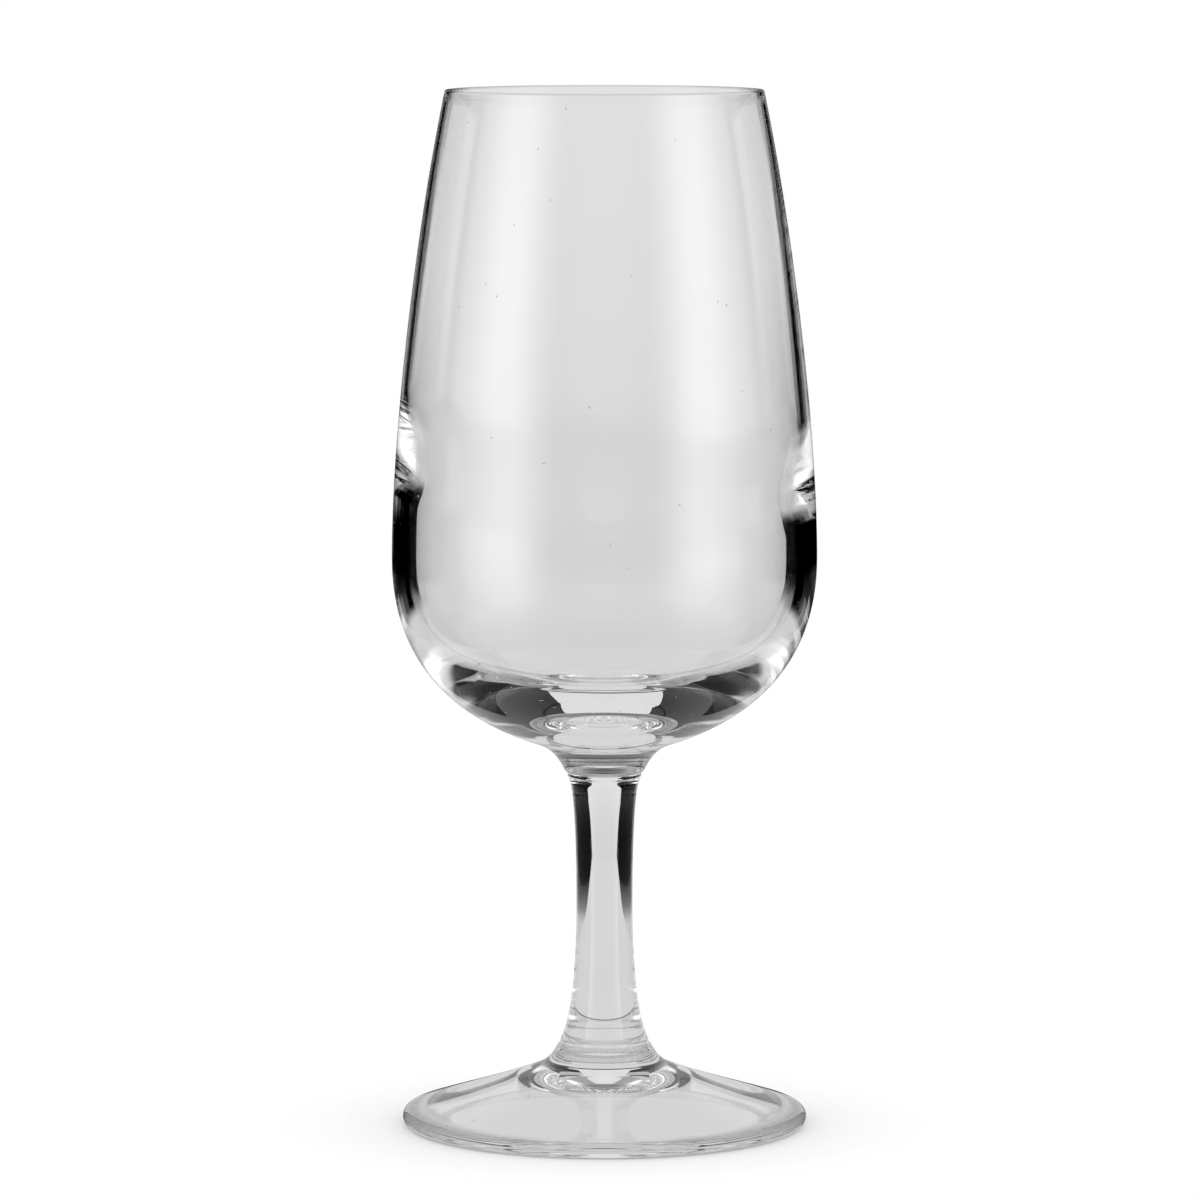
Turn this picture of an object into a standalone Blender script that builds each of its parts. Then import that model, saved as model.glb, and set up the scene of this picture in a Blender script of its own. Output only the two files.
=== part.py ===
"""A stemmed tasting glass: a blown bowl, a drawn stem and a pressed foot, welded end to end.

Lengths are metres, leans are degrees, +Z is up, and the origin is the centre of the ring that the foot
rests on. Each piece is one closed profile of (radius, height) points, turned about the Z axis.
"""

import math

import bmesh
import bpy
from mathutils import Vector
from mathutils.geometry import interpolate_bezier

# Heights of the three pieces, stacked from the table up
FOOT_HEIGHT = 0.0124
STEM_LENGTH = 0.0406
BOWL_HEIGHT = 0.1020

# The two welds: a hair gap between the flat ends, and the softened corner of each end
BOWL_WELD_DIAMETER = 0.0114
FOOT_WELD_DIAMETER = 0.0136
WELD_GAP = 0.0003
WELD_CORNER = 0.00025

# Outside of the bowl: a lean is measured from straight down, and is negative where the wall runs inwards
RIM_DIAMETER = 0.0474
RIM_LEAN = 11.8
BELLY_DIAMETER = 0.0634
BELLY_RISE = 0.0323
NECK_WIDTH = 0.0048
NECK_HEIGHT = 0.0047
NECK_LEAN = -72.0
BOWL_WELD_LEAN = -27.0

# Inside of the bowl: the wall is thin down to a wave, which the glass left as it settled in its mould.
# Below the wave the wall is thick, and the base is solid.
RIM_WALL = 0.00075
SIDE_WALL = 0.0012
BELLY_WALL = 0.0029
WAVE_RISE = 0.0210
WAVE_LENGTH = 0.0150
BASE_THICKNESS = 0.01125

# Stem: waisted, with its thinnest circle this far above the foot's weld
WAIST_DIAMETER = 0.0084
WAIST_RISE = 0.0200
FOOT_WELD_LEAN = 27.0

# Foot: a knee under the stem, a long cone, a round edge and a flat ring to rest on. Underneath, a skirt rises
# nearly parallel to the cone, up to a flat crown.
FOOT_DIAMETER = 0.0606
KNEE_WIDTH = 0.0039
KNEE_DROP = 0.0038
KNEE_LEAN = 68.0
EDGE_THICKNESS = 0.00245
EDGE_LEAN = 72.0
REST_WIDTH = 0.0018
SKIRT_LEAN = 76.0
CROWN_DEPTH = 0.00505
CROWN_DIAMETER = 0.0260
CROWN_DROP = 0.0008
CROWN_LEAN = 73.0

# How full each curve is at its two ends: the length of a handle over the length of the chord
UPPER_WALL_FULLNESS = (0.32, 0.25)
LOWER_WALL_FULLNESS = (0.46, 0.34)
NECK_FULLNESS = (0.41, 0.39)
CAVITY_FULLNESS = (0.44, 0.55)
STEM_TOP_FULLNESS = (0.09, 0.58)
STEM_FOOT_FULLNESS = (0.37, 0.19)
KNEE_FULLNESS = (0.41, 0.40)
CONE_FULLNESS = (0.32, 0.33)
CROWN_FULLNESS = (0.44, 0.30)
SKIRT_FULLNESS = (0.33, 0.33)

# Facets round the axis, and points along the wall, a long curve, a short curve, a round edge and a soft corner
FACETS = 60
WALL_CURVE = 15
LONG_CURVE = 11
SHORT_CURVE = 6
EDGE_POINTS = 7
CORNER_POINTS = 3
SMOOTH_BELOW = 35.0
MERGE_DISTANCE = 1e-6

GLASS_COLOUR = (0.93, 0.95, 0.94, 1.0)
GLASS_ROUGHNESS = 0.02
GLASS_IOR = 1.52

STRAIGHT_DOWN = 0.0
LEVEL_INWARDS = -90.0
LEVEL_OUTWARDS = 90.0

FOOT_WELD_Z = FOOT_HEIGHT
BOWL_WELD_Z = FOOT_WELD_Z + STEM_LENGTH
RIM_Z = BOWL_WELD_Z + BOWL_HEIGHT
BELLY_Z = BOWL_WELD_Z + BELLY_RISE


def heading(lean):
    """The unit direction of a profile that runs down at this lean, outwards where the lean is positive."""
    return Vector((math.sin(math.radians(lean)), -math.cos(math.radians(lean))))


def flow(start, start_lean, end, end_lean, fullness, count):
    """A smooth curve from start to end that leaves and arrives at the given leans."""
    start, end = Vector(start), Vector(end)
    chord = (end - start).length
    leave = start + heading(start_lean) * fullness[0] * chord
    arrive = end - heading(end_lean) * fullness[1] * chord
    return interpolate_bezier(start, leave, arrive, end, count)


def arc(centre, radius, from_degrees, to_degrees, count):
    """Points on a circle, counted from straight outwards towards straight up."""
    turn = (to_degrees - from_degrees) / (count - 1)
    angles = [math.radians(from_degrees + turn * step) for step in range(count)]
    return [Vector(centre) + radius * Vector((math.cos(a), math.sin(a))) for a in angles]


def eased(share):
    """A share of the way from 0 to 1, with a slow start and a slow end."""
    share = min(max(share, 0.0), 1.0)
    return share * share * (3 - 2 * share)


def joined(*stretches):
    """The stretches as one profile, with each shared end kept once."""
    profile = []
    for point in (point for stretch in stretches for point in stretch):
        if not profile or (point - profile[-1]).length > MERGE_DISTANCE:
            profile.append(point)
    return profile


def weld_end(radius, height, faces_up):
    """The flat end of a piece at a weld, from the axis to its softened corner."""
    side = -1 if faces_up else 1
    face_z = height + side * WELD_GAP / 2
    centre = (radius - WELD_CORNER, face_z + side * WELD_CORNER)
    corner = arc(centre, WELD_CORNER, -side * 90, 0, CORNER_POINTS)
    return [Vector((0, face_z)), *corner]


def bowl_wall(height):
    """How thick the bowl's wall is at this height: it thickens slowly above the wave and fast along it."""
    wave_top = BELLY_Z + WAVE_RISE
    above = (SIDE_WALL - RIM_WALL) * eased((RIM_Z - height) / (RIM_Z - wave_top))
    along = (BELLY_WALL - SIDE_WALL) * eased((wave_top - height) / WAVE_LENGTH)
    return RIM_WALL + above + along


def bowl_profile():
    """From the middle of the cavity up its wall, over the round rim and down the outside to the weld."""
    belly_radius = BELLY_DIAMETER / 2
    weld_radius = BOWL_WELD_DIAMETER / 2
    rim_round = RIM_WALL / 2
    rim_centre = Vector((RIM_DIAMETER / 2 - rim_round, RIM_Z - rim_round))
    rim = arc(rim_centre, rim_round, 180 + RIM_LEAN, RIM_LEAN, EDGE_POINTS)

    outer_belly = (belly_radius, BELLY_Z)
    neck = (weld_radius + NECK_WIDTH, BOWL_WELD_Z + NECK_HEIGHT)
    end = weld_end(weld_radius, BOWL_WELD_Z, faces_up=False)
    outer_wall = flow(rim[-1], RIM_LEAN, outer_belly, STRAIGHT_DOWN, UPPER_WALL_FULLNESS, WALL_CURVE)
    outer_base = flow(outer_belly, STRAIGHT_DOWN, neck, NECK_LEAN, LOWER_WALL_FULLNESS, LONG_CURVE)
    fillet = flow(neck, NECK_LEAN, end[-1], BOWL_WELD_LEAN, NECK_FULLNESS, SHORT_CURVE)

    below_rim = outer_wall[1:]
    inner_wall = [rim[0], *(Vector((radius - bowl_wall(height), height)) for radius, height in below_rim)]
    cavity_floor = (0, BOWL_WELD_Z + BASE_THICKNESS)
    inner_base = flow(
        inner_wall[-1], STRAIGHT_DOWN, cavity_floor, LEVEL_INWARDS, CAVITY_FULLNESS, LONG_CURVE
    )
    return joined(
        reversed(inner_base), reversed(inner_wall), rim, outer_wall, outer_base, fillet, reversed(end)
    )


def stem_profile():
    """From the upper weld down through the waist to the lower weld."""
    top = weld_end(BOWL_WELD_DIAMETER / 2, BOWL_WELD_Z, faces_up=True)
    waist = (WAIST_DIAMETER / 2, FOOT_WELD_Z + WAIST_RISE)
    bottom = weld_end(FOOT_WELD_DIAMETER / 2, FOOT_WELD_Z, faces_up=False)
    upper = flow(top[-1], BOWL_WELD_LEAN, waist, STRAIGHT_DOWN, STEM_TOP_FULLNESS, LONG_CURVE)
    lower = flow(waist, STRAIGHT_DOWN, bottom[-1], FOOT_WELD_LEAN, STEM_FOOT_FULLNESS, LONG_CURVE)
    return joined(top, upper, lower, reversed(bottom))


def foot_profile():
    """From the weld over the knee, down the cone, round the edge and across the underside to the axis."""
    weld_radius = FOOT_WELD_DIAMETER / 2
    edge_round = EDGE_THICKNESS / 2
    edge_centre = (FOOT_DIAMETER / 2 - edge_round, edge_round)
    rest_radius = FOOT_DIAMETER / 2 - edge_round - REST_WIDTH

    top = weld_end(weld_radius, FOOT_WELD_Z, faces_up=True)
    knee = (weld_radius + KNEE_WIDTH, FOOT_WELD_Z - KNEE_DROP)
    edge = arc(edge_centre, edge_round, EDGE_LEAN, -90, EDGE_POINTS)
    fillet = flow(top[-1], FOOT_WELD_LEAN, knee, KNEE_LEAN, KNEE_FULLNESS, SHORT_CURVE)
    cone = flow(knee, KNEE_LEAN, edge[0], EDGE_LEAN, CONE_FULLNESS, LONG_CURVE)
    crown_edge = (CROWN_DIAMETER / 2, CROWN_DEPTH - CROWN_DROP)
    crown = flow((0, CROWN_DEPTH), LEVEL_OUTWARDS, crown_edge, CROWN_LEAN, CROWN_FULLNESS, SHORT_CURVE)
    skirt = flow(crown_edge, CROWN_LEAN, (rest_radius, 0), SKIRT_LEAN, SKIRT_FULLNESS, SHORT_CURVE)
    return joined(top, fillet, cone, edge, reversed(skirt), reversed(crown))


def glass(name):
    """Clear soda-lime glass with a fire-polished surface."""
    material = bpy.data.materials.new(name)
    material.use_nodes = True
    shader = material.node_tree.nodes["Principled BSDF"]
    shader.inputs["Base Color"].default_value = GLASS_COLOUR
    shader.inputs["Roughness"].default_value = GLASS_ROUGHNESS
    shader.inputs["Metallic"].default_value = 0.0
    shader.inputs["IOR"].default_value = GLASS_IOR
    shader.inputs["Transmission Weight"].default_value = 1.0
    return material


def turned(name, profile, material, parent):
    """One piece: the profile spun a full turn about the Z axis into a closed solid."""
    solid = bmesh.new()
    points = [solid.verts.new((radius, 0, height)) for radius, height in profile]
    edges = [solid.edges.new(pair) for pair in zip(points, points[1:])]
    bmesh.ops.spin(
        solid,
        geom=points + edges,
        cent=(0, 0, 0),
        axis=(0, 0, 1),
        angle=math.tau,
        steps=FACETS,
        use_merge=True,
    )
    bmesh.ops.remove_doubles(solid, verts=solid.verts, dist=MERGE_DISTANCE)
    bmesh.ops.recalc_face_normals(solid, faces=solid.faces)
    mesh = bpy.data.meshes.new(name)
    solid.to_mesh(mesh)
    solid.free()
    mesh.shade_smooth()
    mesh.set_sharp_from_angle(angle=math.radians(SMOOTH_BELOW))
    mesh.materials.append(material)
    piece = bpy.data.objects.new(name, mesh)
    piece.parent = parent
    bpy.context.scene.collection.objects.link(piece)
    return piece


def main():
    for leftover in list(bpy.data.objects):
        bpy.data.objects.remove(leftover)
    base = bpy.data.objects.new("tasting_glass", None)
    bpy.context.scene.collection.objects.link(base)
    turned("bowl", bowl_profile(), glass("bowl_glass"), base)
    turned("stem", stem_profile(), glass("stem_glass"), base)
    turned("foot", foot_profile(), glass("foot_glass"), base)


main()
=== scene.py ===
# %% [markdown]
# # A stemmed tasting glass in Blender
# The glass is three pieces of clear glass, fused end to end: a blown bowl, a drawn stem and a pressed foot.
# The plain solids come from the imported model. Here each one is replaced by a finer, smoother piece of the
# same size, because clear glass shows every facet: what looks fine on wood looks broken in a lens.

# %% Load the plain solids and measure them
import math

import bmesh
import bpy
import numpy as np
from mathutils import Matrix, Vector
from mathutils.geometry import interpolate_bezier


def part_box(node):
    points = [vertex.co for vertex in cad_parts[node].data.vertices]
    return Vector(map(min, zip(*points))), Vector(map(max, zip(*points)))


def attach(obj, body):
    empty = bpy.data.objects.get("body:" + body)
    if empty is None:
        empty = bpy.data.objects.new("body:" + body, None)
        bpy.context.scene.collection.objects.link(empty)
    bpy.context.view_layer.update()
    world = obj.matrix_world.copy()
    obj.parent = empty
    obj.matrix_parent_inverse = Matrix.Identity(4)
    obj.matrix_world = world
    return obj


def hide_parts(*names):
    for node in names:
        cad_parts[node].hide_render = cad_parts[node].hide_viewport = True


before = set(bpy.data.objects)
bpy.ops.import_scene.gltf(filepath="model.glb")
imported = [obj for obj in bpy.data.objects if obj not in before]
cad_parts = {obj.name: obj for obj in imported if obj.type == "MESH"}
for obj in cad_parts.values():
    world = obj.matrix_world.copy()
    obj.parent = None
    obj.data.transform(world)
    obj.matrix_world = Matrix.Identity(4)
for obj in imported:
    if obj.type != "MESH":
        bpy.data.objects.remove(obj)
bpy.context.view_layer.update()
bowl_low, bowl_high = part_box("bowl")
stem_low, stem_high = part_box("stem")
foot_low, foot_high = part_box("foot")
rim_height = bowl_high.z
bowl_weld_height = (bowl_low.z + stem_high.z) / 2
foot_weld_height = (stem_low.z + foot_high.z) / 2
print(f"welds at {bowl_weld_height:.4f} m and {foot_weld_height:.4f} m, rim at {rim_height:.4f} m")

# %% [markdown]
# ## The camera
# A long lens from a metre away keeps the rim and the foot nearly level, as in a catalogue picture. The
# camera stands a little higher than the rim and looks slightly down, so the rim and the foot show as flat
# ovals.

# %% Place the camera
SENSOR_WIDTH = 36.0
CAMERA_LENS = 202.14
CAMERA_PLACE = Vector((-0.00067, -1.0, 0.18404))
CAMERA_AIM = Vector((-0.00067, 0.0, 0.07899))

scene = bpy.context.scene
camera_data = bpy.data.cameras.new("camera")
camera_data.sensor_width = SENSOR_WIDTH
camera_data.lens = CAMERA_LENS
camera = bpy.data.objects.new("camera", camera_data)
camera.location = CAMERA_PLACE
camera.rotation_euler = (CAMERA_AIM - CAMERA_PLACE).to_track_quat("-Z", "Y").to_euler()
scene.collection.objects.link(camera)
scene.camera = camera
scene.view_settings.view_transform = "Standard"
print(f"camera {(CAMERA_AIM - CAMERA_PLACE).length:.3f} m from the middle of the glass")

# %% [markdown]
# ## Outlines
# Every piece is round, so each starts as half of its outline, drawn in the XZ plane. A sphere or a cylinder
# could be pushed into shape, but an outline shows the sizes and is easy to change. It is a few smooth
# curves. A lean says which way a curve heads: zero is straight down, positive runs outwards and negative
# inwards, so two curves that share a point and a lean meet without a kink.

# %% Helpers for outlines
STRAIGHT_DOWN = 0.0
INWARDS = -90.0
OUTWARDS = 90.0


def heading(lean):
    """The direction of an outline that runs down at this lean."""
    return Vector((math.sin(math.radians(lean)), -math.cos(math.radians(lean))))


def sweep(start, start_lean, end, end_lean, fullness, count):
    """A curve that leaves start and reaches end at the given leans."""
    start, end = Vector(start), Vector(end)
    chord = (end - start).length
    leave = start + heading(start_lean) * fullness[0] * chord
    arrive = end - heading(end_lean) * fullness[1] * chord
    return interpolate_bezier(start, leave, arrive, end, count)


def arc(centre, radius, from_degrees, to_degrees, count):
    """A round stretch, counted from straight outwards towards straight up."""
    turn = (to_degrees - from_degrees) / (count - 1)
    angles = [math.radians(from_degrees + turn * step) for step in range(count)]
    return [Vector(centre) + radius * Vector((math.cos(a), math.sin(a))) for a in angles]


# %% [markdown]
# ## Turning an outline
# The spin operator turns an outline into a piece, as a lathe would. The Screw modifier could do it too, but
# an operator leaves a finished mesh. The points on the axis are merged, the faces are made to point
# outwards, and only real corners stay sharp, because smooth shading is what makes glass look liquid.

# %% Helper that spins an outline into a piece
TURN_STEPS = 256
TOUCHING = 1e-7
SHARP_FROM = math.radians(40)


def turned(name, *stretches):
    """A closed piece: the stretches end to end, spun once round the Z axis."""
    outline = []
    for point in (point for stretch in stretches for point in stretch):
        if not outline or (point - outline[-1]).length > TOUCHING:
            outline.append(point)
    shape = bmesh.new()
    points = [shape.verts.new((radius, 0, height)) for radius, height in outline]
    edges = [shape.edges.new(pair) for pair in zip(points, points[1:])]
    bmesh.ops.spin(
        shape, geom=points + edges, cent=(0, 0, 0), axis=(0, 0, 1), angle=math.tau,
        steps=TURN_STEPS, use_merge=True,
    )
    bmesh.ops.remove_doubles(shape, verts=shape.verts, dist=TOUCHING)
    bmesh.ops.recalc_face_normals(shape, faces=shape.faces)
    mesh = bpy.data.meshes.new(name)
    shape.to_mesh(mesh)
    shape.free()
    mesh.shade_smooth()
    mesh.set_sharp_from_angle(angle=SHARP_FROM)
    piece = bpy.data.objects.new(name, mesh)
    scene.collection.objects.link(piece)
    print(f"{name}: {len(outline)} outline points, {len(mesh.polygons)} faces")
    return piece


# %% [markdown]
# ## The welds
# Hot glass flows together where two pieces meet, and only a shallow groove is left round the joint. Each
# piece ends in a flat face there, just clear of the next one, with its corner drawn in to make half of the
# groove. One joined mesh would look the same, but the pieces stay separate here, as they do in the packed
# model.

# %% The end of a piece at a weld
WELD_SLIT = 0.00001
GROOVE_DEPTH = 0.00018
GROOVE_REACH = 0.0007
GROOVE_FULLNESS = (0.4, 0.3)
GROOVE_POINTS = 6


def weld_end(radius, height, lean, side):
    """Half of the groove and the flat face of a piece that ends here: side is 1 above the weld, -1 below."""
    face = height + side * WELD_SLIT / 2
    lip = Vector((radius, height)) - heading(lean) * side * GROOVE_REACH
    corner = Vector((radius - GROOVE_DEPTH, face))
    groove = sweep(lip, lean, corner, STRAIGHT_DOWN, GROOVE_FULLNESS, GROOVE_POINTS)
    if side < 0:
        groove = sweep(corner, STRAIGHT_DOWN, lip, lean, GROOVE_FULLNESS[::-1], GROOVE_POINTS)
    return lip, groove, [Vector((0, face))]


# %% [markdown]
# ## The bowl
# The bowl is blown: thin at the rim, thick at the belly, and solid at the base where the gather of glass
# was. The rim is melted round. The wall's changing thickness is what bends the light at the edges, so the
# inside is a curve of its own and not an offset of the outside, which a Solidify modifier would give.

# %% Draw the outside of the bowl
BOWL_WELD_RADIUS = 0.0057
BOWL_WELD_LEAN = -27.0
RIM_RADIUS = 0.0237
RIM_WALL = 0.00075
RIM_LEAN = 11.8
RIM_POINTS = 17
BELLY_RISE = 0.0323
WALL_FULLNESS = (0.32, 0.25)
WALL_POINTS = 70
BASE_FULLNESS = (0.46, 0.34)
BASE_POINTS = 40
NECK = Vector((0.0048, 0.0047))
NECK_LEAN = -72.0
NECK_FULLNESS = (0.41, 0.39)
NECK_POINTS = 20

belly_radius = bowl_high.x
belly_height = bowl_weld_height + BELLY_RISE
rim_round = RIM_WALL / 2
rim_centre = (RIM_RADIUS - rim_round, rim_height - rim_round)
rim = arc(rim_centre, rim_round, 180 + RIM_LEAN, RIM_LEAN, RIM_POINTS)
outer_belly = (belly_radius, belly_height)
neck = Vector((BOWL_WELD_RADIUS, bowl_weld_height)) + NECK
lip, groove, middle = weld_end(BOWL_WELD_RADIUS, bowl_weld_height, BOWL_WELD_LEAN, 1)
outer_wall = sweep(rim[-1], RIM_LEAN, outer_belly, STRAIGHT_DOWN, WALL_FULLNESS, WALL_POINTS)
outer_base = sweep(outer_belly, STRAIGHT_DOWN, neck, NECK_LEAN, BASE_FULLNESS, BASE_POINTS)
fillet = sweep(neck, NECK_LEAN, lip, BOWL_WELD_LEAN, NECK_FULLNESS, NECK_POINTS)
print(f"belly {2 * belly_radius:.4f} m across at {belly_height:.4f} m")

# %% [markdown]
# ## The wall of the bowl
# Under the bead of the rim the wall is thin. Lower down the glass settled before it was blown, and left a
# wave on the inside, below which the wall is twice as thick. Light gets caught in that wave and runs round
# the wall, which is where the white patches at the sides come from. The wave is short and high on one side,
# lower on the other and long in front, and the hollow sits a hair off centre.

# %% Work out how thick the wall is
THIN_WALL = 0.0006
SIDE_WALL = 0.0012
BELLY_WALL = 0.0027
WAVE_RISE = 0.0228
WAVE_TILT = 0.0022
WAVE_LENGTH_SIDE = 0.0150
WAVE_LENGTH_FRONT = 0.0200
HOLLOW_SHIFT = 0.0002


def ease(share):
    """A share of the way from 0 to 1, with a slow start and a slow end."""
    share = min(max(share, 0.0), 1.0)
    return share * share * (3 - 2 * share)


def wall_at(height, angle):
    """The wall's thickness at this height, on the side of the bowl that this angle faces."""
    wave_top = belly_height + WAVE_RISE - WAVE_TILT * math.cos(angle)
    wave_length = WAVE_LENGTH_SIDE * math.cos(angle) ** 2 + WAVE_LENGTH_FRONT * math.sin(angle) ** 2
    side_wall = SIDE_WALL + HOLLOW_SHIFT * math.cos(angle)
    above = (side_wall - THIN_WALL) * ease((rim_height - height) / (rim_height - wave_top))
    below = (BELLY_WALL - SIDE_WALL) * ease((wave_top - height) / wave_length)
    return THIN_WALL + above + below


for angle in (0, 90, 180):
    walls = [wall_at(belly_height + rise, math.radians(angle)) * 1000 for rise in (0.04, 0.02, 0.01, 0)]
    print(f"wall at {angle} degrees, going down:", *(f"{wall:.2f} mm" for wall in walls))

# %% [markdown]
# ## Turning the bowl
# A spun outline is the same on all sides, so it can't hold a wave that tilts. The inside is spun plain
# first, at one thickness all the way down to the belly, with a round hollow below that.

# %% Turn the bowl
BASE_THICKNESS = 0.01125
HOLLOW_FULLNESS = (0.44, 0.548)
HOLLOW_POINTS = 50

inner_wall = [Vector((radius - RIM_WALL, height)) for radius, height in outer_wall]
inner_wall[0] = rim[0]
inner_belly = (belly_radius - BELLY_WALL, belly_height)
hollow_floor = bowl_weld_height + BASE_THICKNESS
inner_base = sweep(
    inner_belly, STRAIGHT_DOWN, (0, hollow_floor), INWARDS, HOLLOW_FULLNESS, HOLLOW_POINTS
)
bowl = turned(
    "bowl_blown", inner_base[::-1], inner_wall[-2::-1], rim, outer_wall, outer_base, fillet, groove, middle
)

# %% [markdown]
# ## Setting the wall
# Now each point of the inside is moved towards the axis until the wall has its thickness there. A sculpting
# brush or a Displace modifier could do this, but a formula is exact and can be read. Below the belly the
# hollow only shifts sideways.

# %% Set the wall of the bowl
outside = (outer_wall + outer_base + fillet)[::-1]
outside_heights = [height for radius, height in outside]
outside_radii = [radius for radius, height in outside]
moved = 0
for point in bowl.data.vertices:
    radius = math.hypot(point.co.x, point.co.y)
    outer_radius = np.interp(point.co.z, outside_heights, outside_radii)
    in_hollow = hollow_floor - TOUCHING < point.co.z < rim[0].y - TOUCHING
    if not in_hollow or radius > outer_radius - RIM_WALL / 2:
        continue
    moved += 1
    if point.co.z > belly_height + TOUCHING:
        share = (outer_radius - wall_at(point.co.z, math.atan2(point.co.y, point.co.x))) / radius
        point.co.x *= share
        point.co.y *= share
    else:
        point.co.x -= HOLLOW_SHIFT
print(f"moved {moved} of {len(bowl.data.vertices)} points")

# %% [markdown]
# ## The stem
# The stem is a solid rod, drawn thinnest a little above its middle. A rod of clear glass works as a lens,
# so its outline has to be smooth: the picture behind it is squeezed into a narrow band. A cylinder with a
# few rings would show each ring as a line.

# %% Turn the stem
WAIST_RADIUS = 0.0042
WAIST_RISE = 0.0200
FOOT_WELD_LEAN = 27.0
STEM_UPPER_FULLNESS = (0.09, 0.58)
STEM_UPPER_POINTS = 50
STEM_LOWER_FULLNESS = (0.37, 0.19)
STEM_LOWER_POINTS = 40

foot_weld_radius = stem_high.x
top_lip, top_groove, top_middle = weld_end(BOWL_WELD_RADIUS, bowl_weld_height, BOWL_WELD_LEAN, -1)
low_lip, low_groove, low_middle = weld_end(foot_weld_radius, foot_weld_height, FOOT_WELD_LEAN, 1)
waist = (WAIST_RADIUS, foot_weld_height + WAIST_RISE)
stem_upper = sweep(
    top_lip, BOWL_WELD_LEAN, waist, STRAIGHT_DOWN, STEM_UPPER_FULLNESS, STEM_UPPER_POINTS
)
stem_lower = sweep(
    waist, STRAIGHT_DOWN, low_lip, FOOT_WELD_LEAN, STEM_LOWER_FULLNESS, STEM_LOWER_POINTS
)
stem = turned(
    "stem_drawn", top_middle, top_groove, stem_upper, stem_lower, low_groove, low_middle
)

# %% [markdown]
# ## The foot
# The foot is pressed: a knee under the stem, a long shallow cone, a round edge and a narrow ring that
# stands on the table. Underneath it is hollow, so that the glass doesn't rock: a flat crown in the middle,
# and a skirt that runs nearly parallel to the cone above it, which is why the foot looks as plain as a
# window.

# %% Turn the foot
KNEE = Vector((0.0039, -0.0038))
KNEE_LEAN = 68.0
KNEE_FULLNESS = (0.41, 0.40)
KNEE_POINTS = 20
CONE_FULLNESS = (0.32, 0.33)
CONE_POINTS = 50
EDGE_THICKNESS = 0.00245
EDGE_LEAN = 72.0
EDGE_POINTS = 24
REST_WIDTH = 0.0018
CROWN_DEPTH = 0.00505
CROWN_RADIUS = 0.0130
CROWN_DROP = 0.0008
CROWN_LEAN = 73.0
CROWN_FULLNESS = (0.44, 0.30)
SKIRT_LEAN = 76.0
SKIRT_FULLNESS = (0.33, 0.33)
UNDERSIDE_POINTS = 30

foot_radius = foot_high.x
edge_round = EDGE_THICKNESS / 2
rest_radius = foot_radius - edge_round - REST_WIDTH
foot_lip, foot_groove, foot_middle = weld_end(foot_weld_radius, foot_weld_height, FOOT_WELD_LEAN, -1)
knee = Vector((foot_weld_radius, foot_weld_height)) + KNEE
edge = arc((foot_radius - edge_round, edge_round), edge_round, EDGE_LEAN, -90, EDGE_POINTS)
knee_curve = sweep(foot_lip, FOOT_WELD_LEAN, knee, KNEE_LEAN, KNEE_FULLNESS, KNEE_POINTS)
cone = sweep(knee, KNEE_LEAN, edge[0], EDGE_LEAN, CONE_FULLNESS, CONE_POINTS)
crown_edge = (CROWN_RADIUS, CROWN_DEPTH - CROWN_DROP)
crown = sweep((0, CROWN_DEPTH), OUTWARDS, crown_edge, CROWN_LEAN, CROWN_FULLNESS, UNDERSIDE_POINTS)
skirt = sweep(crown_edge, CROWN_LEAN, (rest_radius, 0), SKIRT_LEAN, SKIRT_FULLNESS, UNDERSIDE_POINTS)
foot = turned(
    "foot_pressed", foot_middle, foot_groove, knee_curve, cone, edge, skirt[::-1], crown[::-1]
)

# %% [markdown]
# ## Working with nodes
# Materials and the studio are made of the same few nodes, so they get short helpers: a sum, a step from one
# value to another, and the place of a point. In the editor each would be a node pulled in by hand.


# %% Helpers for nodes
def feed(tree, given, socket):
    """Set a socket to a number, or link another node's output to it."""
    if isinstance(given, (int, float)):
        socket.default_value = given
    else:
        tree.links.new(given, socket)


def worked_out(tree, operation, *inputs):
    """The result of one Math node. Each input is a number or another node's output."""
    node = tree.nodes.new("ShaderNodeMath")
    node.operation = operation
    for socket, given in zip(node.inputs, inputs):
        feed(tree, given, socket)
    return node.outputs[0]


def step(tree, source, start, end, low=0.0, high=1.0, kind="SMOOTHSTEP"):
    """A step from low at start to high at end."""
    node = tree.nodes.new("ShaderNodeMapRange")
    node.interpolation_type = kind
    for name, number in (("From Min", start), ("From Max", end), ("To Min", low), ("To Max", high)):
        node.inputs[name].default_value = number
    tree.links.new(source, node.inputs["Value"])
    return node.outputs["Result"]


def parts_of(tree, vector):
    """The X, Y and Z of a vector."""
    node = tree.nodes.new("ShaderNodeSeparateXYZ")
    tree.links.new(vector, node.inputs[0])
    return node.outputs


def length_of(tree, vector):
    """How far the vector reaches."""
    node = tree.nodes.new("ShaderNodeVectorMath")
    node.operation = "LENGTH"
    tree.links.new(vector, node.inputs[0])
    return node.outputs["Value"]


# %% [markdown]
# ## Clear glass
# One Principled shader with full transmission and the bending power of plain table glass. What tells real
# glass from a perfect one is small: seeds, the pinhead bubbles left from melting, which scatter light, a
# faint unevenness of the surface that makes highlights waver, and scuffs on the ring that slides over the
# table. All three are patterns on Object coordinates, so they stay where they are when the glass is turned.

# %% Make the glass
GLASS_COLOUR = (0.985, 0.99, 0.985, 1.0)
SEED_COLOUR = (0.55, 0.56, 0.55, 1.0)
GLASS_IOR = 1.52
SEEDS_PER_METRE = 190
SEED_CORE = 0.020
SEED_EDGE = 0.036
SEED_ROUGHNESS = 0.7
SCUFF_HEIGHT = 0.0004
SCUFF_ROUGHNESS = 0.35
UNEVEN_PER_METRE = 40
UNEVEN_DEPTH = 0.00001


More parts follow.
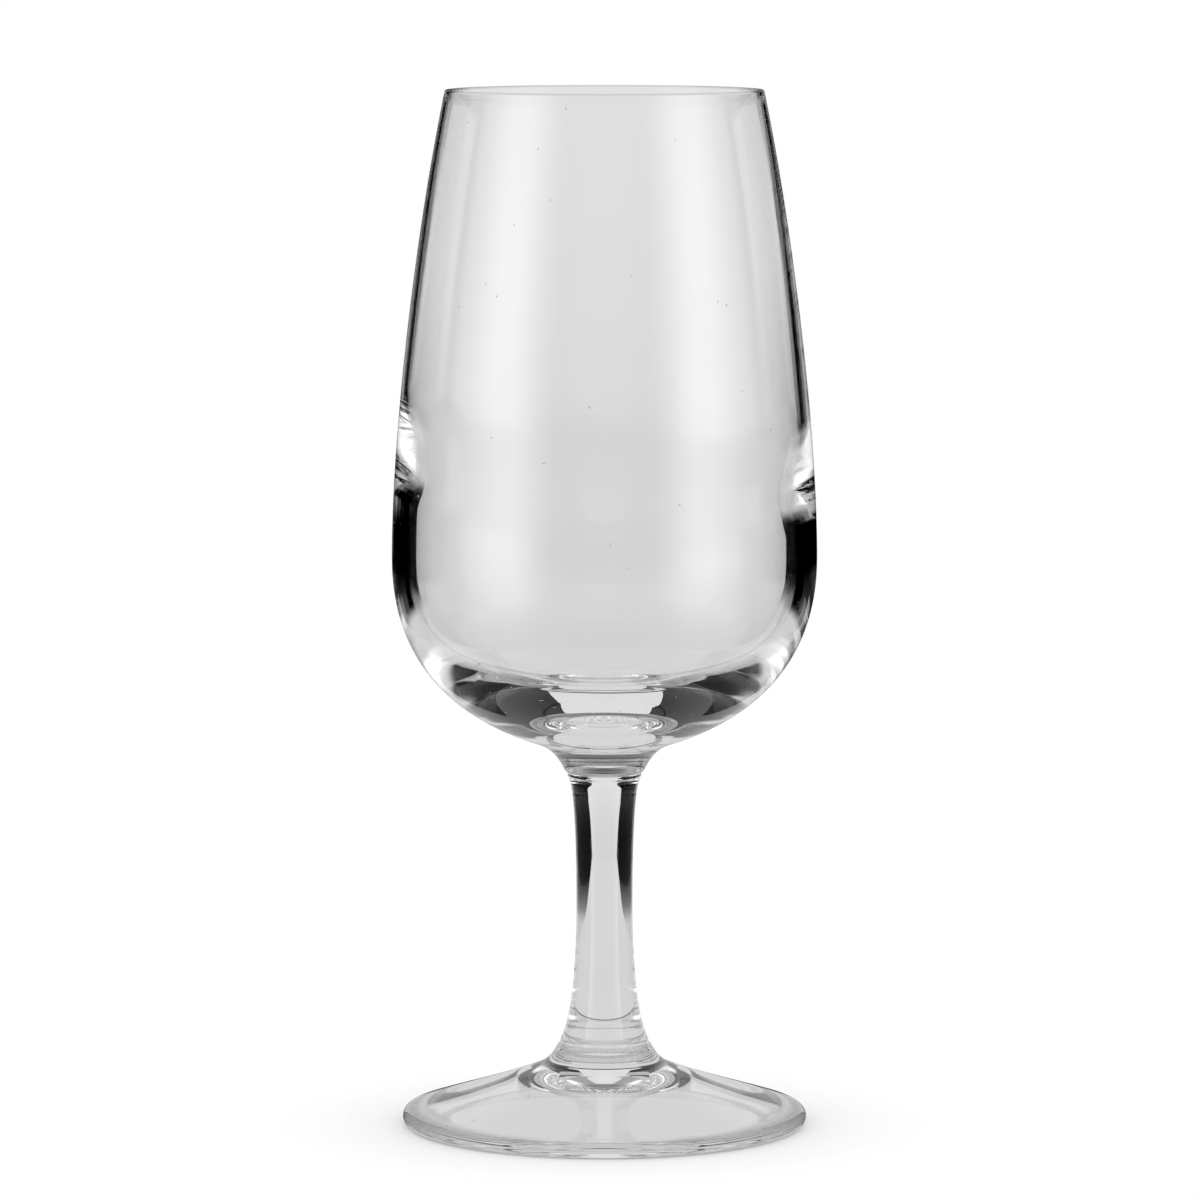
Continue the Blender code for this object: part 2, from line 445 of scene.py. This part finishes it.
def clear_glass(name):
    """Clear table glass with seeds, scuffs and an uneven surface."""
    material = bpy.data.materials.new(name)
    material.use_nodes = True
    tree = material.node_tree
    nodes, links = tree.nodes, tree.links
    shader = nodes["Principled BSDF"]
    shader.inputs["IOR"].default_value = GLASS_IOR
    shader.inputs["Transmission Weight"].default_value = 1.0
    place = nodes.new("ShaderNodeTexCoord").outputs["Object"]

    cells = nodes.new("ShaderNodeTexVoronoi")
    cells.inputs["Scale"].default_value = SEEDS_PER_METRE
    links.new(place, cells.inputs["Vector"])
    seed = step(tree, cells.outputs["Distance"], SEED_CORE, SEED_EDGE, 1.0, 0.0, "LINEAR")
    colour = nodes.new("ShaderNodeMix")
    colour.data_type = "RGBA"
    colour.inputs["A"].default_value = GLASS_COLOUR
    colour.inputs["B"].default_value = SEED_COLOUR
    links.new(seed, colour.inputs["Factor"])
    links.new(colour.outputs["Result"], shader.inputs["Base Color"])

    height = parts_of(tree, place)["Z"]
    scuff = step(tree, height, 0.0, SCUFF_HEIGHT, SCUFF_ROUGHNESS, 0.0, "LINEAR")
    roughness = worked_out(tree, "MULTIPLY_ADD", seed, SEED_ROUGHNESS, scuff)
    links.new(roughness, shader.inputs["Roughness"])

    uneven = nodes.new("ShaderNodeTexNoise")
    uneven.inputs["Scale"].default_value = UNEVEN_PER_METRE
    uneven.inputs["Detail"].default_value = 0.0
    links.new(place, uneven.inputs["Vector"])
    bump = nodes.new("ShaderNodeBump")
    bump.inputs["Distance"].default_value = UNEVEN_DEPTH
    links.new(uneven.outputs[0], bump.inputs["Height"])
    links.new(bump.outputs["Normal"], shader.inputs["Normal"])
    return material


# %% [markdown]
# ## The faces inside a weld
# In the real glass nothing is left of the two flat ends: they are one body. So light has to go straight on
# there, and those faces get a shader that lets everything through. Without it each weld would show as a
# mirror.

# %% Give the pieces their glass
LEVEL_FACE = 0.9


def fused_face():
    """The face inside a weld, where glass meets glass: light goes straight on."""
    material = bpy.data.materials.new("fused_face")
    material.use_nodes = True
    nodes = material.node_tree.nodes
    clear = nodes.new("ShaderNodeBsdfTransparent")
    material.node_tree.links.new(clear.outputs[0], nodes["Material Output"].inputs["Surface"])
    nodes.remove(nodes["Principled BSDF"])
    return material


fused = fused_face()
weld_planes = (bowl_weld_height, foot_weld_height)
for piece, node in ((bowl, "bowl"), (stem, "stem"), (foot, "foot")):
    piece.data.materials.append(clear_glass(f"{node}_glass"))
    piece.data.materials.append(fused)
    fused_count = 0
    for face in piece.data.polygons:
        on_weld = min(abs(face.center.z - plane) for plane in weld_planes) < WELD_SLIT
        face.material_index = 1 if on_weld and abs(face.normal.z) > LEVEL_FACE else 0
        fused_count += face.material_index
    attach(piece, "root")
    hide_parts(node)
    print(f"{piece.name}: {fused_count} faces inside welds")

# %% [markdown]
# ## The floor
# A white floor that keeps the soft shadow under the foot. Further out it fades into the white behind it, as
# a sheet of paper does that is lit from all sides. The glass itself sees the studio's own paper instead.

# %% Lay the floor
FLOOR_HALF = 3.0
FLOOR_DROP = 0.00005
FADE_START = 0.022
FADE_END = 0.052

floor_shape = bmesh.new()
bmesh.ops.create_grid(floor_shape, x_segments=1, y_segments=1, size=FLOOR_HALF)
bmesh.ops.translate(floor_shape, verts=floor_shape.verts, vec=(0, 0, -FLOOR_DROP))
floor_mesh = bpy.data.meshes.new("floor")
floor_shape.to_mesh(floor_mesh)
floor_shape.free()
floor = bpy.data.objects.new("floor", floor_mesh)
scene.collection.objects.link(floor)
floor.visible_glossy = False
floor.visible_transmission = False
print(f"floor {2 * FLOOR_HALF:.1f} m wide")

# %% [markdown]
# ## White with a shadow
# The floor's white is a matt shader whose alpha falls off with the distance from the glass. A shadow
# catcher could do this too, but with alpha the reach of the shadow is a plain number: close to the foot it
# shows, and further out all is white.

# %% Paint the floor
floor_material = bpy.data.materials.new("floor_white")
floor_material.use_nodes = True
floor_tree = floor_material.node_tree
floor_shader = floor_tree.nodes["Principled BSDF"]
floor_shader.inputs["Base Color"].default_value = (1.0, 1.0, 1.0, 1.0)
floor_shader.inputs["Roughness"].default_value = 1.0
floor_shader.inputs["Specular IOR Level"].default_value = 0.0
floor_place = floor_tree.nodes.new("ShaderNodeTexCoord").outputs["Object"]
solid = step(floor_tree, length_of(floor_tree, floor_place), FADE_START, FADE_END, 1.0, 0.0)
floor_tree.links.new(solid, floor_shader.inputs["Alpha"])
floor.data.materials.append(floor_material)
print(f"floor fades out between {FADE_START} m and {FADE_END} m")

# %% [markdown]
# ## The white paper
# Clear glass has no colour of its own: it shows what stands round it. A strip of white paper lies under the
# glass and hangs behind it, wider there than on the table and narrower again higher up. Only the glass sees
# the paper, and the dark of the room beside it draws the black lines at the edges of the bowl and the stem.
# A real table would be lit by lamps. A glowing sheet has no noise, and its light can be set in one place.

# %% Helpers for the studio's sheets
def glowing(name):
    """A material that only gives off light, with its nodes and the node that sets how much."""
    material = bpy.data.materials.new(name)
    material.use_nodes = True
    tree = material.node_tree
    tree.nodes.remove(tree.nodes["Principled BSDF"])
    light = tree.nodes.new("ShaderNodeEmission")
    tree.links.new(light.outputs[0], tree.nodes["Material Output"].inputs["Surface"])
    return material, tree, light


def rolled_out(rows):
    """A sheet through rows that are given as half width, depth and height."""
    shape = bmesh.new()
    edges = []
    for half, y, z in rows:
        edges.append(shape.edges.new([shape.verts.new((x, y, z)) for x in (-half, half)]))
    for pair in zip(edges, edges[1:]):
        bmesh.ops.bridge_loops(shape, edges=pair)
    return shape


def hang(name, shape, material):
    """A sheet of the studio that only the glass sees."""
    mesh = bpy.data.meshes.new(name)
    shape.to_mesh(mesh)
    shape.free()
    mesh.materials.append(material)
    held = bpy.data.objects.new(name, mesh)
    scene.collection.objects.link(held)
    held.visible_camera = False
    held.visible_diffuse = False
    held.visible_shadow = False
    print(f"{name} of {len(mesh.polygons)} faces")
    return held


# %% [markdown]
# ## How the paper glows
# The paper is a little brighter towards the top, and has a painted contact shadow: a dark ring where the
# foot stands. A band low on its back is black for light that the glass mirrored on its way there, which the
# Light Path node counts: that makes the thick wall beside the belly a black lens over its whole width. No
# real paper could do this, and without the band part of the lens is grey.

# %% Paint the paper
PAPER_LIGHT_LOW = 0.68
PAPER_LIGHT_HIGH = 0.78
PAPER_GRADES = (-0.04, 0.12)
# Where the painted contact shadow lies on the paper, how far it reaches and how dark it is.
CONTACT_RADIUS = rest_radius + REST_WIDTH / 2
CONTACT_SHADOW_REACH = 0.0014
CONTACT_SHADOW_LIGHT = 0.25
BAND_OPENS = (0.028, 0.036)
BAND_CLOSES = (0.060, 0.070)

white_paper, paper_tree, paper_light = glowing("white_paper")
paper_place = paper_tree.nodes.new("ShaderNodeTexCoord").outputs["Object"]
paper_height = parts_of(paper_tree, paper_place)["Z"]
paper_path = paper_tree.nodes.new("ShaderNodeLightPath")

grade = step(paper_tree, paper_height, *PAPER_GRADES, PAPER_LIGHT_LOW, PAPER_LIGHT_HIGH)
# Painted shadow: the paper's light drops to a dark ring round the foot's resting ring. It is drawn in, not
# cast.
beyond_ring = worked_out(paper_tree, "SUBTRACT", length_of(paper_tree, paper_place), CONTACT_RADIUS)
off_ring = worked_out(paper_tree, "ABSOLUTE", beyond_ring)
painted_contact_shadow = step(paper_tree, off_ring, 0.0, CONTACT_SHADOW_REACH, CONTACT_SHADOW_LIGHT, 1.0)
lit = worked_out(paper_tree, "MULTIPLY", grade, painted_contact_shadow)

opened = step(paper_tree, paper_height, *BAND_OPENS)
not_closed = step(paper_tree, paper_height, *BAND_CLOSES, 1.0, 0.0)
in_band = worked_out(paper_tree, "MULTIPLY", opened, not_closed)
was_mirrored = step(paper_tree, paper_path.outputs["Glossy Depth"], 0.0, 1.0)
darkened = worked_out(paper_tree, "MULTIPLY", was_mirrored, in_band)
clear_of_band = step(paper_tree, darkened, 0.0, 1.0, 1.0, 0.0)
paper_tree.links.new(worked_out(paper_tree, "MULTIPLY", lit, clear_of_band), paper_light.inputs["Strength"])
print(f"paper light {PAPER_LIGHT_LOW} to {PAPER_LIGHT_HIGH}, contact ring {2 * CONTACT_RADIUS:.4f} m across")

# %% Hang the paper
TABLE_HALF = 0.105
TABLE_FRONT = -0.6
BACK_HALVES = ((0.04, 0.130), (0.085, 0.130), (0.115, 0.090), (0.53, 0.085))
BACK_DISTANCE = 0.33

paper_rows = [(TABLE_HALF, TABLE_FRONT, -FLOOR_DROP), (TABLE_HALF, BACK_DISTANCE, -FLOOR_DROP)]
paper_rows += [(half, BACK_DISTANCE, height) for height, half in BACK_HALVES]
paper = hang("paper", rolled_out(paper_rows), white_paper)
paper.visible_glossy = False

# %% [markdown]
# ## The white cards
# A white card curves round each side of the glass, level with the upper half of the bowl. The wall mirrors
# it at its edge, so that the black stays a thin line there and doesn't bleed into the bowl. The cards fade
# in from below, because a hard edge would show as a line. They show only in mirrored light: looked at
# through the glass from another side they aren't there.

# %% Hang the side cards
CARD_LIGHT = 0.66
CARD_DISTANCE = 0.11
CARD_BEARINGS = (52, 88)
CARD_HEIGHTS = (0.10, 0.17)
CARD_FADE = (0.10, 0.14)
CARD_STEPS = 12


def fading_card(name, low, high, low_share, high_share):
    """A card that glows in mirrored light, by one share at a low height and by another at a high one."""
    material, tree, light = glowing(name)
    light.inputs["Strength"].default_value = CARD_LIGHT
    clear = tree.nodes.new("ShaderNodeBsdfTransparent")
    place = tree.nodes.new("ShaderNodeTexCoord").outputs["Object"]
    share = step(tree, parts_of(tree, place)["Z"], low, high, low_share, high_share)
    times_mirrored = tree.nodes.new("ShaderNodeLightPath").outputs["Glossy Depth"]
    shows = worked_out(tree, "MINIMUM", worked_out(tree, "MULTIPLY", share, times_mirrored), 1.0)
    mix = tree.nodes.new("ShaderNodeMixShader")
    for socket, given in zip(mix.inputs, (shows, clear.outputs[0], light.outputs[0])):
        tree.links.new(given, socket)
    tree.links.new(mix.outputs[0], tree.nodes["Material Output"].inputs["Surface"])
    return material


def curved_card(distance, bearings, heights, side):
    """An upright card that curves round the glass, on the side of -X or +X."""
    first, last = (math.radians(bearing) for bearing in bearings)
    shape = bmesh.new()
    x, y = side * distance * math.sin(first), distance * math.cos(first)
    upright = shape.edges.new([shape.verts.new((x, y, height)) for height in heights])
    bmesh.ops.spin(
        shape, geom=[*upright.verts, upright], cent=(0, 0, 0), axis=(0, 0, 1), angle=side * (first - last),
        steps=CARD_STEPS,
    )
    return shape


card_white = fading_card("card_white", *CARD_FADE, 0.0, 1.0)
for name, side in (("card_left", -1), ("card_right", 1)):
    hang(name, curved_card(CARD_DISTANCE, CARD_BEARINGS, CARD_HEIGHTS, side), card_white)

# %% [markdown]
# ## The black cards
# A photographer stands black cards close to a stem to give it its two dark bands. These are low, so that
# the bowl doesn't mirror them, and they show in reflections alone.

# %% Stand the black cards beside the stem
BLACK_DISTANCE = 0.06
BLACK_BEARINGS = (45, 125)
BLACK_HEIGHTS = (0.0, 0.045)

card_black, black_tree, black_light = glowing("card_black")
black_light.inputs["Strength"].default_value = 0.0
for name, side in (("black_left", -1), ("black_right", 1)):
    held = hang(name, curved_card(BLACK_DISTANCE, BLACK_BEARINGS, BLACK_HEIGHTS, side), card_black)
    held.visible_transmission = False

# %% [markdown]
# ## The low strip
# The top of the foot is a shallow cone, which mirrors what stands low behind it. A white strip there keeps
# the foot pale, and it fades out upwards so that its top edge doesn't cross the stem.

# %% Stand a low strip behind the foot
STRIP_HALF = 0.09
STRIP_DISTANCE = 0.06
STRIP_HEIGHT = 0.075
STRIP_FADE = (0.03, 0.075)

strip_rows = [(STRIP_HALF, STRIP_DISTANCE, height) for height in (0.0, STRIP_HEIGHT)]
strip = hang("strip", rolled_out(strip_rows), fading_card("strip_white", *STRIP_FADE, 1.0, 0.0))
strip.visible_transmission = False

# %% [markdown]
# ## Directions in the studio
# The world is the studio round the glass. Lamps could light it too, but a pattern on the world is as soft
# as it needs to be and makes no noise. Each direction is given as a bearing, which is 0 behind the glass
# and 180 at the camera and the same to the left and to the right, and a height above the horizon, both in
# degrees.

# %% Find the bearing and the height
DEGREES = 180 / math.pi

world = bpy.data.worlds.new("studio")
scene.world = world
world.use_nodes = True
tree = world.node_tree
tree.nodes.clear()
x, y, z = parts_of(tree, tree.nodes.new("ShaderNodeTexCoord").outputs["Generated"])
turn = worked_out(tree, "ABSOLUTE", worked_out(tree, "ARCTAN2", x, y))
bearing = worked_out(tree, "MULTIPLY", turn, DEGREES)
height = worked_out(tree, "MULTIPLY", worked_out(tree, "ARCSINE", z), DEGREES)
print(f"{world.name} with {len(tree.nodes)} nodes for its directions")


# %% Helpers for panels
def window(source, start, end, soft):
    """1 between two angles and 0 outside them, with soft edges."""
    opens = step(tree, source, start - soft, start + soft)
    closes = step(tree, source, end - soft, end + soft, 1.0, 0.0)
    return worked_out(tree, "MULTIPLY", opens, closes)


def laid_over(under, light, mask):
    """The light in place of what is under it, where the mask is 1."""
    node = tree.nodes.new("ShaderNodeMix")
    node.data_type = "FLOAT"
    for socket, given in ((node.inputs[0], mask), (node.inputs[2], under), (node.inputs[3], light)):
        feed(tree, given, socket)
    return node.outputs[0]


# %% [markdown]
# ## Panels
# The glass sees a pale tent that is darker towards the top, with a dark flag on each side of the paper, a
# tall soft box on each side of the camera and the dimmer room in front. The low flag, the boxes and the
# room in front show in mirrored light alone, so that what is seen straight through the glass stays pale and
# isn't burnt out from behind. The boxes' lower part is shaded for light that was mirrored on its way and
# crossed only two surfaces, as it does inside one wall. Real panels couldn't tell such light apart.

# %% Build the panels
TENT = 0.62
HALF = 0.5
WALL_CROSSINGS = 2

path = tree.nodes.new("ShaderNodeLightPath")
mirrored_ray = worked_out(tree, "GREATER_THAN", path.outputs["Glossy Depth"], HALF)
crossed_twice = worked_out(tree, "COMPARE", path.outputs["Transmission Depth"], WALL_CROSSINGS, HALF)
wall_ray = worked_out(tree, "MULTIPLY", mirrored_ray, crossed_twice)

# Each panel has a light, the rays that see it, and where it starts, ends and how soft its edges are.
ANY_RAY = 1.0
PANELS = {
    "top": (0.36, ANY_RAY, (-90, 270, 11), (29, 180, 11)),
    "ceiling": (0.08, ANY_RAY, (-90, 270, 8), (62, 180, 8)),
    "flag": (0.0, ANY_RAY, (-90, 84, 5), (-9, 26, 1.5)),
    "low flag": (0.0, mirrored_ray, (-90, 60, 5), (-15, -5, 2)),
    "boxes": (1.75, mirrored_ray, (99, 138, 18), (-32, 27, 18)),
    "shade under the boxes": (TENT, wall_ray, (70, 270, 10), (-90, -4, 6)),
    "front": (0.12, mirrored_ray, (142, 270, 15), (-11, 8, 15)),
}
shade = TENT
for name, (light, seen_by, bearings, heights) in PANELS.items():
    area = worked_out(tree, "MULTIPLY", window(bearing, *bearings), window(height, *heights))
    shade = laid_over(shade, light, worked_out(tree, "MULTIPLY", area, seen_by))
    print(f"{name}: light {light}")

# %% [markdown]
# ## White for the camera
# The camera and the floor see plain white, and the glass sees the panels. The light path tells them apart,
# as no real room could. Light that is caught in the wave of the wall is mirrored many times before it gets
# out, so it is followed far longer than usual. With the usual few bounces the white patches would be black.

# %% Light the studio
PLAIN_WHITE = 1.0
LIGHT_BOUNCES = 300

glass_ray = worked_out(tree, "MAXIMUM", path.outputs["Is Glossy Ray"], path.outputs["Is Transmission Ray"])
background = tree.nodes.new("ShaderNodeBackground")
background.inputs["Color"].default_value = (1.0, 1.0, 1.0, 1.0)
tree.links.new(laid_over(PLAIN_WHITE, shade, glass_ray), background.inputs["Strength"])
world_out = tree.nodes.new("ShaderNodeOutputWorld")
tree.links.new(background.outputs[0], world_out.inputs["Surface"])
scene.cycles.max_bounces = LIGHT_BOUNCES
scene.cycles.transmission_bounces = LIGHT_BOUNCES
scene.cycles.glossy_bounces = LIGHT_BOUNCES
print(f"studio of {len(PANELS)} panels, light followed for {LIGHT_BOUNCES} bounces")
